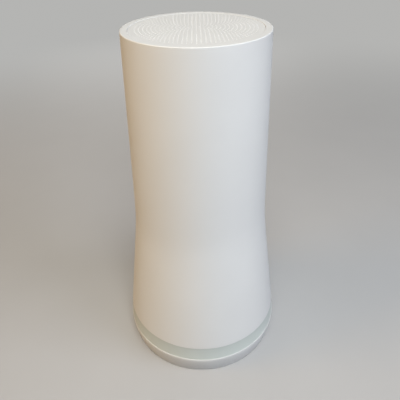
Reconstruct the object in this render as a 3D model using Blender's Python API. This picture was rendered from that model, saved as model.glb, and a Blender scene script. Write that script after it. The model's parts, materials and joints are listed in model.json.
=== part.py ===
"""Mesh wifi node: a tapered white tower with a perforated top, a light ring and a round foot.

Run with: blender --background --python part.py
The frame is in metres, +Z up. The origin lies on the table, under the tower's axis.
The front faces -Y and the port bay faces +Y.
"""

import math

import bmesh
import bpy
from mathutils import Matrix, Vector

MM = 0.001
GAP = 0.3 * MM  # clearance between solids that rest on each other
BITE = 1 * MM  # how far a tool reaches past the face that it cuts or joins
MERGE_DISTANCE = 1e-7
SHARP_ANGLE = math.radians(35)
ASSEMBLY = "mesh_wifi_node"  # the empty that every piece hangs from

# Steps around a full turn.
ROUND_STEPS = 56
INNER_STEPS = 48
SMALL_STEPS = 16
HOLE_STEPS = 12

# Outer form. Two straight tapers meet at the waist, rounded by WAIST_ROUNDING.
HEIGHT = 230 * MM
TOP_RADIUS = 41.5 * MM
UPPER_TAPER = 0.0271  # radius lost for each unit of height above the waist
LOWER_TAPER = 0.1355  # the same below the waist
WAIST_Z = 107.4 * MM
WAIST_ROUNDING = 0.45 * MM
SHELL_BOTTOM_Z = 26 * MM
SHELL_WALL = 2.2 * MM
SHELL_LEVELS = (58 * MM, 84 * MM, 97 * MM, 105 * MM, 111 * MM, 119 * MM, 133 * MM, 165 * MM)
TOP_FILLET = 1.2 * MM

# Top opening, in which the grille sits on a ledge.
GRILLE_RADIUS = 37 * MM
GRILLE_TOP_Z = 229.7 * MM
GRILLE_THICKNESS = 1.9 * MM
GRILLE_SLIT = 0.4 * MM
GRILLE_RINGS = 6
GRILLE_FIELD_RADIUS = 31.8 * MM
GRILLE_HOLE_RADIUS = 1.35 * MM
HOOK_ANGLES = (45, 135, 225, 315)
HOOK_HALF_WIDTH = 4 * MM
LEDGE_RADIUS = 35 * MM
LEDGE_THICKNESS = 2 * MM
LEDGE_TOP_Z = GRILLE_TOP_Z - GRILLE_THICKNESS - GAP
LEDGE_BOTTOM_Z = LEDGE_TOP_Z - LEDGE_THICKNESS
TAB_BOTTOM_Z = LEDGE_BOTTOM_Z - 2.3 * MM
TAB_RADIUS = 4 * MM
SHELL_SCREW_X = 33 * MM
SHELL_SCREW_END_Z = 213 * MM
SHELL_SCREW_HEAD_RADIUS = 2.4 * MM
SHELL_SCREW_RADIUS = 1.25 * MM

# Foot, light ring and base plate.
FOOT_BOTTOM_Z = 0.5 * MM
FOOT_TOP_Z = 14.2 * MM
FOOT_RADIUS = 57.2 * MM
FOOT_BOTTOM_RADIUS = 54.3 * MM
FOOT_ROLL_POWER = 1.4  # how late the foot's face starts to roll in
FOOT_EDGE = 0.5 * MM
FOOT_WALL = 3.8 * MM
FOOT_LEDGE_THICKNESS = 2.2 * MM
FOOT_FLANGE_WIDTH = 2.4 * MM
NOTCH_WIDTH = 15 * MM
NOTCH_DEPTH = 1.1 * MM
LIGHT_RING_RADIUS = 55 * MM
LIGHT_RING_WALL = 3 * MM
BASE_RADIUS = 51 * MM
BASE_BOTTOM_Z = 1.6 * MM
BASE_TOP_Z = 4.6 * MM
FOOT_FLANGE_TOP_Z = BASE_TOP_Z + GAP + 2.5 * MM
BASE_SLOT_COUNT = 16
BASE_SLOT_RADII = (15 * MM, 32 * MM)
BASE_SLOT_HALF_WIDTH = 1.2 * MM
BASE_SCREW_CIRCLE = 41 * MM
BASE_SCREW_ANGLES = (90, 210, 330)
BASE_SCREW_END_Z = 15 * MM
BASE_SCREW_HEAD_RADIUS = 2.7 * MM
BASE_SCREW_RADIUS = 1.45 * MM
COUNTERBORE_DEPTH = 1.8 * MM
COUNTERBORE_RADIUS = 3.1 * MM
RUBBER_RADII = (36.5 * MM, 46 * MM)
LABEL_RADIUS = 11 * MM
LABEL_THICKNESS = 0.3 * MM

# Port bay: a flat panel sunk into the back of the shell.
BAY_HALF_WIDTH = 35 * MM
BAY_Z = (31 * MM, 64 * MM)
BAY_CORNER = 5 * MM
BAY_WALL = 1.6 * MM
BAY_REACH = 65 * MM  # beyond the shell's outer face
PANEL_FACE_Y = 38 * MM
PANEL_BACK_Y = PANEL_FACE_Y - 2 * MM
IO_BOARD_Z = (31.5 * MM, 33.1 * MM)
JACK_BOTTOM_Z = IO_BOARD_Z[1] + GAP
JACK_WIDTH = 16 * MM
JACK_DEPTH = 21.3 * MM
JACK_HEIGHT = 13.5 * MM
JACK_X = {"wan_jack": -12.25 * MM, "lan_jack_1": 5.25 * MM, "lan_jack_2": 22.75 * MM}
MOUTH_DEPTH = 13 * MM
MOUTH_HALF = ((1.6, 1.0), (1.6, 2.0), (3.1, 2.0), (3.1, 3.5), (5.95, 3.5), (5.95, 11.8))  # in mm
DC_JACK_X = -26.25 * MM
DC_JACK_WIDTH = 9 * MM
DC_JACK_DEPTH = 14 * MM
DC_JACK_HEIGHT = 11 * MM
DC_BORE_RADIUS = 3.2 * MM
DC_BORE_DEPTH = 9.5 * MM
DC_PIN_RADIUS = 1 * MM

# Pairing button and reset pinhole, above the sockets.
CONTROL_Z = 56 * MM
PAIR_BUTTON_X = -12 * MM
PAIR_BUTTON_RADIUS = 4 * MM
PAIR_FLANGE_RADIUS = 5.2 * MM
PAIR_FLANGE_THICKNESS = 1.1 * MM
PAIR_STEM_RADIUS = 1.5 * MM
PAIR_STANDS_PROUD = 0.9 * MM
RESET_X = 14 * MM
RESET_HOLE_RADIUS = 1 * MM
SWITCH_BOARD_Y = (26.8 * MM, 28.2 * MM)
SWITCH_HALF = 3 * MM
SWITCH_FACE_Y = 32 * MM
SWITCH_POST_X = (-4 * MM, 8 * MM)
SWITCH_POST_RADIUS = 2 * MM
PLUNGER_RADIUS = 1.7 * MM
PLUNGER_INNER_Y = 31.2 * MM
PLUNGER_ROOM = 0.8 * MM  # depth left under a plunger at rest
PAIR_PLUNGER_END_Y = 33.8 * MM
RESET_PLUNGER_END_Y = 35.4 * MM

# Inner frame and boards.
FRAME_FLOOR_Z = (27 * MM, 29.5 * MM)
FRAME_FLOOR_RADII = (20 * MM, 52.8 * MM)
FRAME_TOP_Z = (196 * MM, 199.7 * MM)
FRAME_TOP_RADII = (28 * MM, 39.2 * MM)
BOSS_RADIUS = 4.5 * MM
BOSS_PILOT_RADIUS = 1.7 * MM
BOSS_PILOT_TOP_Z = 17 * MM
RAIL_X = (33.5 * MM, 38.5 * MM)
RAIL_HALF_DEPTH = 4 * MM
GROOVE_INNER_X = 30 * MM
POST_RADIUS = 3 * MM
POST_PILOT_RADIUS = 1.5 * MM
POST_PILOT_BOTTOM_Z = 211 * MM
STANDOFF_RADIUS = 2.5 * MM
STANDOFF_PLACES = ((-26, -15), (-26, 12), (26, -15), (26, 12))  # in mm
BOARD_HALF_THICKNESS = 0.8 * MM
BOARD_HALF_WIDTH = 34.8 * MM
BOARD_TOP_Z = 190 * MM
BOARD_SHOULDER_Z = 43.5 * MM
TONGUE_HALF_WIDTH = 18 * MM
TONGUE_BOTTOM_Z = 36.3 * MM
HEATSINK_Z = (76 * MM, 184 * MM)
HEATSINK_HALF_WIDTH = 29 * MM
HEATSINK_BASE_Y = (4.6 * MM, 7.6 * MM)
HEATSINK_TIP_RADIUS = 38 * MM
FIN_COUNT = 9
FIN_PITCH = 6.5 * MM
FIN_HALF_THICKNESS = 0.7 * MM
HEATSINK_SCREWS = ((-22.75 * MM, 82 * MM), (22.75 * MM, 178 * MM))
HEATSINK_HOLE_RADIUS = 1.7 * MM

# Lights and antennas.
LED_BOARD_RADII = (46.8 * MM, 51.6 * MM)
LED_BOARD_Z = (14.5 * MM, 15.5 * MM)
LED_COUNT = 6
LED_X = (48.4 * MM, 50.8 * MM)
LED_HALF_WIDTH = 1.6 * MM
LED_HEIGHT = 2.2 * MM
CARRIER_Z = (200 * MM, 202 * MM)
CARRIER_RADII = (20 * MM, 38.5 * MM)
CARRIER_HOLE_RADIUS = 3.4 * MM
ANTENNA_ANGLES = (45, 135, 225, 315)
ANTENNA_RADIUS = 33.8 * MM
ANTENNA_HALF_THICKNESS = 0.4 * MM
COAX_RADIUS = 0.6 * MM

COLOURS = {  # base colour, roughness, metallic
    "shell_white": ((0.80, 0.80, 0.79), 0.45, 0.0),
    "diffuser": ((0.66, 0.69, 0.65), 0.35, 0.0),
    "rubber_grey": ((0.16, 0.16, 0.16), 0.8, 0.0),
    "panel_white": ((0.74, 0.74, 0.73), 0.55, 0.0),
    "label_silver": ((0.62, 0.62, 0.60), 0.4, 0.0),
    "jack_black": ((0.03, 0.03, 0.03), 0.5, 0.0),
    "jack_blue": ((0.05, 0.16, 0.42), 0.5, 0.0),
    "frame_grey": ((0.30, 0.31, 0.32), 0.6, 0.0),
    "board_green": ((0.03, 0.16, 0.08), 0.5, 0.0),
    "chip_black": ((0.02, 0.02, 0.02), 0.4, 0.0),
    "thermal_pad": ((0.35, 0.45, 0.60), 0.9, 0.0),
    "aluminium": ((0.60, 0.61, 0.62), 0.35, 1.0),
    "tin_plate": ((0.68, 0.68, 0.66), 0.3, 1.0),
    "steel": ((0.50, 0.50, 0.51), 0.3, 1.0),
    "brass": ((0.70, 0.52, 0.22), 0.3, 1.0),
    "led_yellow": ((0.85, 0.80, 0.45), 0.3, 0.0),
}


# ---------------------------------------------------------------- scene and materials


def clear_scene():
    for obj in list(bpy.data.objects):
        bpy.data.objects.remove(obj)
    bpy.context.scene.collection.objects.link(bpy.data.objects.new(ASSEMBLY, None))


def material(name):
    """The Principled material of that name, made on its first use."""
    found = bpy.data.materials.get(name)
    if found:
        return found
    colour, roughness, metallic = COLOURS[name]
    made = bpy.data.materials.new(name)
    made.use_nodes = True
    shader = made.node_tree.nodes["Principled BSDF"]
    shader.inputs["Base Color"].default_value = (*colour, 1.0)
    shader.inputs["Roughness"].default_value = roughness
    shader.inputs["Metallic"].default_value = metallic
    return made


# ---------------------------------------------------------------- solids


def place(obj, origin):
    """Links an object under the assembly's empty, with its origin at the given point."""
    bpy.context.scene.collection.objects.link(obj)
    obj.parent = bpy.data.objects[ASSEMBLY]
    obj.location = origin
    return obj


def solid_from(bm, name, finish):
    """Turns a bmesh into a named object whose faces point out and whose origin is in its middle.

    The middle of a button or a plunger lies on the line that it slides along.
    """
    bmesh.ops.remove_doubles(bm, verts=bm.verts, dist=MERGE_DISTANCE)
    bmesh.ops.recalc_face_normals(bm, faces=bm.faces)
    sides = list(zip(*[vert.co for vert in bm.verts]))
    middle = Vector([(min(side) + max(side)) / 2 for side in sides])
    bmesh.ops.translate(bm, verts=bm.verts, vec=-middle)
    mesh = bpy.data.meshes.new(name)
    bm.to_mesh(mesh)
    bm.free()
    mesh.shade_smooth()
    mesh.set_sharp_from_angle(angle=SHARP_ANGLE)
    mesh.materials.append(material(finish))
    return place(bpy.data.objects.new(name, mesh), middle)


def lathe(name, profile, finish, steps=ROUND_STEPS):
    """Turns a closed (radius, z) outline about the Z axis."""
    bm = bmesh.new()
    verts = [bm.verts.new((r, 0, z)) for r, z in profile]
    edges = [bm.edges.new((verts[i - 1], verts[i])) for i in range(len(verts))]
    bmesh.ops.spin(
        bm,
        geom=verts + edges,
        axis=(0, 0, 1),
        cent=(0, 0, 0),
        steps=steps,
        angle=math.tau,
        use_merge=True,
    )
    return solid_from(bm, name, finish)


def ring(name, radii, z, finish, steps=ROUND_STEPS):
    """A flat-faced ring between (inner, outer) radii and (low, high) heights."""
    outline = [(radii[0], z[0]), (radii[1], z[0]), (radii[1], z[1]), (radii[0], z[1])]
    return lathe(name, outline, finish, steps)


def on_plane(axis, along, a, b):
    """The point (a, b) of a flat outline that stands at a distance along an axis."""
    return {"X": (along, a, b), "Y": (a, along, b), "Z": (a, b, along)}[axis]


def prism(name, outline, span, finish, axis="Z"):
    """Extrudes a flat outline along an axis, between the two ends of span."""
    low, high = sorted(span)
    bm = bmesh.new()
    face = bm.faces.new([bm.verts.new(on_plane(axis, low, a, b)) for a, b in outline])
    grown = bmesh.ops.extrude_face_region(bm, geom=[face], use_keep_orig=True)
    top = [element for element in grown["geom"] if isinstance(element, bmesh.types.BMVert)]
    bmesh.ops.translate(bm, verts=top, vec=on_plane(axis, high - low, 0, 0))
    return solid_from(bm, name, finish)


def box(name, x, y, z, finish):
    """A block between three (low, high) pairs."""
    outline = [(x[0], y[0]), (x[1], y[0]), (x[1], y[1]), (x[0], y[1])]
    return prism(name, outline, z, finish)


def circle(radius, at=(0, 0), steps=SMALL_STEPS):
    turns = [math.tau * index / steps for index in range(steps)]
    return [(at[0] + radius * math.cos(turn), at[1] + radius * math.sin(turn)) for turn in turns]


def rounded_rectangle(half_width, z, radius, corner_steps=4):
    """The (x, z) outline of a rectangle about the Z axis, with round corners."""
    right, left = half_width - radius, radius - half_width
    high, low = z[1] - radius, z[0] + radius
    points = []
    for quarter, (x, height) in enumerate(((right, high), (left, high), (left, low), (right, low))):
        for step in range(corner_steps + 1):
            angle = math.radians(90) * (quarter + step / corner_steps)
            points.append((x + radius * math.cos(angle), height + radius * math.sin(angle)))
    return points


def tube(name, points, radius, finish):
    """A round cable through the points."""
    curve = bpy.data.curves.new(name, "CURVE")
    curve.dimensions = "3D"
    curve.bevel_depth = radius
    curve.bevel_resolution = 1
    curve.resolution_u = 3
    curve.use_fill_caps = True
    spline = curve.splines.new("BEZIER")
    spline.bezier_points.add(len(points) - 1)
    for knot, point in zip(spline.bezier_points, points):
        knot.co = Vector(point) - Vector(points[0])
        knot.handle_left_type = "AUTO"
        knot.handle_right_type = "AUTO"
    curve.materials.append(material(finish))
    return place(bpy.data.objects.new(name, curve), points[0])


def turned(obj, degrees):
    """Turns an object about the tower's axis."""
    turn = Matrix.Rotation(math.radians(degrees), 4, "Z")
    obj.location = turn @ obj.location
    obj.rotation_euler.z = math.radians(degrees)
    return obj


def combine(target, tool, operation):
    """Adds a live Boolean to target and hides its tool."""
    tool.hide_render = True
    tool.display_type = "WIRE"
    modifier = target.modifiers.new(tool.name, "BOOLEAN")
    modifier.operation = operation
    modifier.solver = "EXACT"
    modifier.object = tool
    return target


def cut(target, tool):
    return combine(target, tool, "DIFFERENCE")


def join(target, tool):
    return combine(target, tool, "UNION")


def cut_hole(target, name, radius, at, span, axis="Z", steps=HOLE_STEPS):
    return cut(target, prism(name, circle(radius, at, steps), span, "steel", axis))


def screw(name, at, head_end, shaft_end, head_height, head_radius, shaft_radius, axis="Z"):
    """A pan-head screw that runs along an axis from its head's face to its tip, with a hex socket."""
    forward = 1 if shaft_end > head_end else -1
    seat = head_end + forward * head_height
    overlap = forward * 0.2 * MM
    head = prism(name, circle(head_radius, at), (head_end, seat), "steel", axis)
    shaft = circle(shaft_radius, at, HOLE_STEPS)
    join(head, prism(name + "_shaft", shaft, (seat - overlap, shaft_end), "steel", axis))
    socket = (head_end - forward * BITE, head_end + forward * 0.6 * head_height)
    return cut_hole(head, name + "_socket", 0.45 * head_radius, at, socket, axis, steps=6)


# ---------------------------------------------------------------- shell and top


def shell_radius(z):
    """The tower's outer radius at a height: two tapers joined by a hyperbola at the waist."""
    waist_radius = TOP_RADIUS + UPPER_TAPER * (HEIGHT - WAIST_Z)
    mean_taper = (UPPER_TAPER + LOWER_TAPER) / 2
    half_change = (LOWER_TAPER - UPPER_TAPER) / 2
    rise = z - WAIST_Z
    return waist_radius - mean_taper * rise + math.hypot(half_change * rise, WAIST_ROUNDING)


def shell_profile():
    """The sleeve's section: outer face, rounded lip, ledge for the grille and inner face."""
    outer = [(shell_radius(z), z) for z in (SHELL_BOTTOM_Z, *SHELL_LEVELS, HEIGHT - TOP_FILLET)]
    lip_radius = shell_radius(HEIGHT) - TOP_FILLET
    lip = []
    for angle in map(math.radians, (30, 60, 90)):
        lip.append((lip_radius + TOP_FILLET * math.cos(angle), HEIGHT - TOP_FILLET * (1 - math.sin(angle))))
    opening = GRILLE_RADIUS + GRILLE_SLIT
    seat = [(opening, HEIGHT), (opening, LEDGE_TOP_Z)]
    seat += [(LEDGE_RADIUS, LEDGE_TOP_Z), (LEDGE_RADIUS, LEDGE_BOTTOM_Z)]
    inner_levels = (LEDGE_BOTTOM_Z, *reversed(SHELL_LEVELS[1::2]), SHELL_BOTTOM_Z)
    inner = [(shell_radius(z) - SHELL_WALL, z) for z in inner_levels]
    return outer + lip + seat + inner


def bay_outline(inset=0.0):
    z = (BAY_Z[0] + inset, BAY_Z[1] - inset)
    return rounded_rectangle(BAY_HALF_WIDTH - inset, z, BAY_CORNER - inset)


def outer_shell():
    """The one-piece sleeve, with the port bay cut through its back and two screw tabs on its ledge."""
    shell = lathe("outer_shell", shell_profile(), "shell_white")
    cut(shell, prism("bay_cutter", bay_outline(), (PANEL_FACE_Y - 10 * MM, BAY_REACH), "shell_white", "Y"))
    for side, x in (("left", -SHELL_SCREW_X), ("right", SHELL_SCREW_X)):
        at = (x, 0)
        tab_z = (TAB_BOTTOM_Z, LEDGE_TOP_Z - 0.05 * MM)
        join(shell, prism(f"tab_{side}", circle(TAB_RADIUS, at, 20), tab_z, "shell_white"))
        head_room = SHELL_SCREW_HEAD_RADIUS + 0.5 * MM
        cut_hole(shell, f"tab_recess_{side}", head_room, at, (LEDGE_BOTTOM_Z, HEIGHT), steps=SMALL_STEPS)
        cut_hole(shell, f"tab_hole_{side}", SHELL_SCREW_RADIUS + GAP, at, (TAB_BOTTOM_Z - BITE, HEIGHT))
        screw(
            f"shell_screw_{side}",
            at,
            LEDGE_TOP_Z - GAP,
            SHELL_SCREW_END_Z,
            head_height=LEDGE_THICKNESS - 2 * GAP,
            head_radius=SHELL_SCREW_HEAD_RADIUS,
            shaft_radius=SHELL_SCREW_RADIUS,
        )


def grille_holes():
    """One cutter of hexagonal pegs in concentric rings. Each ring has six more than the one inside it."""
    pitch = GRILLE_FIELD_RADIUS / GRILLE_RINGS
    centres = [(0.0, 0.0)]
    for index in range(1, GRILLE_RINGS + 1):
        centres += circle(index * pitch, steps=6 * index)
    bm = bmesh.new()
    for x, y in centres:
        bmesh.ops.create_cone(
            bm,
            cap_ends=True,
            segments=6,
            radius1=GRILLE_HOLE_RADIUS,
            radius2=GRILLE_HOLE_RADIUS,
            depth=4 * GRILLE_THICKNESS,
            matrix=Matrix.Translation((x, y, GRILLE_TOP_Z)) @ Matrix.Rotation(math.atan2(y, x), 4, "Z"),
        )
    return solid_from(bm, "grille_holes", "shell_white")


def top_grille():
    """The perforated disc, with four snap hooks that catch under the shell's ledge."""
    low = GRILLE_TOP_Z - GRILLE_THICKNESS
    grille = prism("top_grille", circle(GRILLE_RADIUS, steps=ROUND_STEPS), (low, GRILLE_TOP_Z), "shell_white")
    root, barb = LEDGE_RADIUS - 2 * MM, LEDGE_RADIUS + 0.9 * MM
    neck = LEDGE_RADIUS - 0.4 * MM
    tip_z, catch_z = LEDGE_BOTTOM_Z - 3 * MM, LEDGE_BOTTOM_Z - GAP
    root_z = low + 0.5 * MM
    hook = [(root, tip_z), (root + BITE, tip_z), (barb, catch_z)]
    hook += [(neck, catch_z), (neck, root_z), (root, root_z)]
    for angle in HOOK_ANGLES:
        width = (-HOOK_HALF_WIDTH, HOOK_HALF_WIDTH)
        join(grille, turned(prism(f"hook_{angle}", hook, width, "shell_white", "Y"), angle))
    cut(grille, grille_holes())


# ---------------------------------------------------------------- foot and base


def foot_profile():
    """The foot's section: a face that rolls inwards towards the table, a top ledge and an inner flange."""
    face_top = FOOT_TOP_Z - FOOT_EDGE
    face = []
    for share in (1.0, 0.85, 0.65, 0.4, 0.0):
        roll = (FOOT_RADIUS - FOOT_BOTTOM_RADIUS) * share**FOOT_ROLL_POWER
        face.append((FOOT_RADIUS - roll, face_top - share * (face_top - FOOT_BOTTOM_Z)))
    ledge_radius = LED_BOARD_RADII[1] - BITE
    ledge_bottom = FOOT_TOP_Z - FOOT_LEDGE_THICKNESS
    cavity_radius = FOOT_RADIUS - FOOT_WALL
    flange_bottom = BASE_TOP_Z + GAP
    return [
        *face,
        (FOOT_RADIUS - FOOT_EDGE, FOOT_TOP_Z),
        (ledge_radius, FOOT_TOP_Z),
        (ledge_radius, ledge_bottom),
        (cavity_radius, ledge_bottom),
        (cavity_radius - GAP, FOOT_FLANGE_TOP_Z),
        (BASE_RADIUS - FOOT_FLANGE_WIDTH, FOOT_FLANGE_TOP_Z),
        (BASE_RADIUS - FOOT_FLANGE_WIDTH, flange_bottom),
        (BASE_RADIUS + GAP, flange_bottom),
        (BASE_RADIUS + GAP, FOOT_BOTTOM_Z),
    ]


def foot_ring():
    """The white foot, with a shallow arch cut into its bottom edge at the front."""
    foot = lathe("foot_ring", foot_profile(), "shell_white")
    arch_radius = ((NOTCH_WIDTH / 2) ** 2 + NOTCH_DEPTH**2) / (2 * NOTCH_DEPTH)
    arch_centre = (0, FOOT_BOTTOM_Z + NOTCH_DEPTH - arch_radius)
    arch_y = (-FOOT_RADIUS - 5 * MM, -FOOT_BOTTOM_RADIUS + 6 * MM)
    cut(foot, prism("foot_notch", circle(arch_radius, arch_centre, 96), arch_y, "shell_white", "Y"))


def light_ring():
    radii = (LIGHT_RING_RADIUS - LIGHT_RING_WALL, LIGHT_RING_RADIUS)
    ring("light_ring", radii, (FOOT_TOP_Z + GAP, SHELL_BOTTOM_Z - GAP), "diffuser")


def base_screw_places():
    angles = [math.radians(angle) for angle in BASE_SCREW_ANGLES]
    return [(BASE_SCREW_CIRCLE * math.cos(angle), BASE_SCREW_CIRCLE * math.sin(angle)) for angle in angles]


def base_plate():
    """The bottom cover: radial air slots, and three counterbored screw holes under the rubber ring."""
    outline = circle(BASE_RADIUS, steps=ROUND_STEPS)
    plate = prism("base_plate", outline, (BASE_BOTTOM_Z, BASE_TOP_Z), "shell_white")
    through = (BASE_BOTTOM_Z - BITE, BASE_TOP_Z + BITE)
    width = (-BASE_SLOT_HALF_WIDTH, BASE_SLOT_HALF_WIDTH)
    for index in range(BASE_SLOT_COUNT):
        slot = box(f"base_slot_{index}", BASE_SLOT_RADII, width, through, "shell_white")
        cut(plate, turned(slot, 360 * index / BASE_SLOT_COUNT))
    counterbore = (BASE_BOTTOM_Z - BITE, BASE_BOTTOM_Z + COUNTERBORE_DEPTH)
    for index, at in enumerate(base_screw_places(), start=1):
        cut_hole(plate, f"base_bore_{index}", COUNTERBORE_RADIUS, at, counterbore, steps=SMALL_STEPS)
        cut_hole(plate, f"base_hole_{index}", BASE_SCREW_RADIUS + GAP, at, through)
        screw(
            f"base_screw_{index}",
            at,
            BASE_BOTTOM_Z + 0.1 * MM,
            BASE_SCREW_END_Z,
            head_height=COUNTERBORE_DEPTH - 0.1 * MM - GAP,
            head_radius=BASE_SCREW_HEAD_RADIUS,
            shaft_radius=BASE_SCREW_RADIUS,
        )


def underside():
    """The rubber ring that the tower rests on, and the blank label inside it."""
    top = BASE_BOTTOM_Z - GAP
    ring("rubber_foot", RUBBER_RADII, (0, top), "rubber_grey", INNER_STEPS)
    prism("rating_label", circle(LABEL_RADIUS, steps=40), (top - LABEL_THICKNESS, top), "label_silver")


# ---------------------------------------------------------------- port bay


def bay_envelope():
    """A solid of revolution, just inside the shell's outer face, that trims the bay's side walls."""
    levels = [BAY_Z[0] - 4 * MM, (BAY_Z[0] + BAY_Z[1]) / 2, BAY_Z[1] + 4 * MM]
    outer = [(shell_radius(z) - 0.1 * MM, z) for z in levels]
    return lathe("bay_envelope", [(0, levels[0]), *outer, (0, levels[-1])], "panel_white")


def io_panel():
    """The sunk panel and its side walls, with a window for each socket and two posts for the switch board."""
    panel = prism("io_panel", bay_outline(GAP), (PANEL_BACK_Y, BAY_REACH - 5 * MM), "panel_white", "Y")
    hollow = bay_outline(GAP + BAY_WALL)
    cut(panel, prism("bay_hollow", hollow, (PANEL_FACE_Y, BAY_REACH), "panel_white", "Y"))
    combine(panel, bay_envelope(), "INTERSECT")
    for index, x in enumerate(SWITCH_POST_X):
        post_y = (SWITCH_BOARD_Y[1] + GAP, PANEL_BACK_Y + BITE / 2)
        outline = circle(SWITCH_POST_RADIUS, (x, CONTROL_Z))
        join(panel, prism(f"switch_post_{index}", outline, post_y, "panel_white", "Y"))
    through = (PANEL_BACK_Y - BITE, PANEL_FACE_Y + BITE)
    windows = [(x, JACK_WIDTH, JACK_HEIGHT) for x in JACK_X.values()]
    windows.append((DC_JACK_X, DC_JACK_WIDTH, DC_JACK_HEIGHT))
    for index, (x, width, height) in enumerate(windows):
        half = width / 2 + GAP
        z = (JACK_BOTTOM_Z - GAP, JACK_BOTTOM_Z + height + GAP)
        cut(panel, box(f"port_window_{index}", (x - half, x + half), through, z, "panel_white"))
    pair_at, reset_at = (PAIR_BUTTON_X, CONTROL_Z), (RESET_X, CONTROL_Z)
    cut_hole(panel, "pair_hole", PAIR_BUTTON_RADIUS + GAP, pair_at, through, "Y", steps=24)
    cut_hole(panel, "reset_hole", RESET_HOLE_RADIUS, reset_at, through, "Y")


def network_jack(name, x, finish):
    """An eight-pin socket: a block with a stepped mouth for the plug and its latch."""
    half = JACK_WIDTH / 2
    jack_y = (PANEL_FACE_Y - JACK_DEPTH, PANEL_FACE_Y)
    jack = box(name, (x - half, x + half), jack_y, (JACK_BOTTOM_Z, JACK_BOTTOM_Z + JACK_HEIGHT), finish)
    right = [(x + a * MM, JACK_BOTTOM_Z + b * MM) for a, b in MOUTH_HALF]
    left = [(x - a * MM, JACK_BOTTOM_Z + b * MM) for a, b in reversed(MOUTH_HALF)]
    mouth_y = (PANEL_FACE_Y - MOUTH_DEPTH, PANEL_FACE_Y + BITE)
    cut(jack, prism(name + "_mouth", right + left, mouth_y, finish, "Y"))


def power_jack():
    """The barrel socket with its centre pin."""
    half = DC_JACK_WIDTH / 2
    x = (DC_JACK_X - half, DC_JACK_X + half)
    z = (JACK_BOTTOM_Z, JACK_BOTTOM_Z + DC_JACK_HEIGHT)
    jack = box("dc_jack", x, (PANEL_FACE_Y - DC_JACK_DEPTH, PANEL_FACE_Y), z, "jack_black")
    at = (DC_JACK_X, JACK_BOTTOM_Z + DC_JACK_HEIGHT / 2)
    floor = PANEL_FACE_Y - DC_BORE_DEPTH
    cut_hole(jack, "dc_bore", DC_BORE_RADIUS, at, (floor, PANEL_FACE_Y + BITE), "Y", steps=20)
    pin = circle(DC_PIN_RADIUS, at, 10)
    join(jack, prism("dc_pin", pin, (floor - BITE, PANEL_FACE_Y - BITE), "jack_black", "Y"))


def pair_button():
    """A round cap held behind the panel by its flange, with a short stem facing the switch."""
    at = (PAIR_BUTTON_X, CONTROL_Z)
    flange_front = PANEL_BACK_Y - GAP
    flange_back = flange_front - PAIR_FLANGE_THICKNESS
    overlap = BITE / 2
    cap_y = (flange_front - overlap, PANEL_FACE_Y + PAIR_STANDS_PROUD)
    cap = prism("pair_button", circle(PAIR_BUTTON_RADIUS, at, 24), cap_y, "panel_white", "Y")
    flange = circle(PAIR_FLANGE_RADIUS, at, 24)
    join(cap, prism("pair_flange", flange, (flange_back, flange_front), "panel_white", "Y"))
    stem_y = (PAIR_PLUNGER_END_Y + GAP, flange_back + overlap)
    join(cap, prism("pair_stem", circle(PAIR_STEM_RADIUS, at, HOLE_STEPS), stem_y, "panel_white", "Y"))


def push_switch(label, x, plunger_end):
    """A tactile switch: a square body with a well, and the plunger that moves in it."""
    at = (x, CONTROL_Z)
    y = (SWITCH_BOARD_Y[1] + GAP, SWITCH_FACE_Y)
    z = (CONTROL_Z - SWITCH_HALF, CONTROL_Z + SWITCH_HALF)
    body = box(f"{label}_switch_body", (x - SWITCH_HALF, x + SWITCH_HALF), y, z, "chip_black")
    well = (PLUNGER_INNER_Y - PLUNGER_ROOM, SWITCH_FACE_Y + BITE)
    cut_hole(body, f"{label}_switch_well", PLUNGER_RADIUS + GAP, at, well, "Y", steps=SMALL_STEPS)
    plunger = circle(PLUNGER_RADIUS, at)
    prism(f"{label}_switch_plunger", plunger, (PLUNGER_INNER_Y, plunger_end), "chip_black", "Y")


def port_bay():
    io_panel()
    for name, x in JACK_X.items():
        network_jack(name, x, "jack_blue" if name == "wan_jack" else "jack_black")
    power_jack()
    pair_button()
    push_switch("pair", PAIR_BUTTON_X, PAIR_PLUNGER_END_Y)
    push_switch("reset", RESET_X, RESET_PLUNGER_END_Y)
    margin = 8 * MM
    x = (PAIR_BUTTON_X - margin, RESET_X + margin)
    z = (CONTROL_Z - 6 * MM, CONTROL_Z + 6.5 * MM)
    box("button_board", x, SWITCH_BOARD_Y, z, "board_green")


# ---------------------------------------------------------------- frame and boards


def frame_side(frame, side):
    """One grooved rail for the board's edge, and the post above it that takes a shell screw."""
    x = [side * edge for edge in RAIL_X]
    rail_z = (FRAME_FLOOR_Z[0] + BITE, FRAME_TOP_Z[0] + BITE)
    join(frame, box(f"rail_{side}", sorted(x), (-RAIL_HALF_DEPTH, RAIL_HALF_DEPTH), rail_z, "frame_grey"))
    groove_x = sorted((side * GROOVE_INNER_X, side * (BOARD_HALF_WIDTH + GAP)))
    half_groove = BOARD_HALF_THICKNESS + GAP
    groove_z = (BOARD_SHOULDER_Z - GAP, BOARD_TOP_Z + BITE)
    cut(frame, box(f"groove_{side}", groove_x, (-half_groove, half_groove), groove_z, "frame_grey"))
    at = (side * SHELL_SCREW_X, 0)
    post_z = (FRAME_TOP_Z[0] + BITE, TAB_BOTTOM_Z - GAP)
    join(frame, prism(f"post_{side}", circle(POST_RADIUS, at), post_z, "frame_grey"))
    cut_hole(frame, f"post_pilot_{side}", POST_PILOT_RADIUS, at, (POST_PILOT_BOTTOM_Z, HEIGHT))


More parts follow.
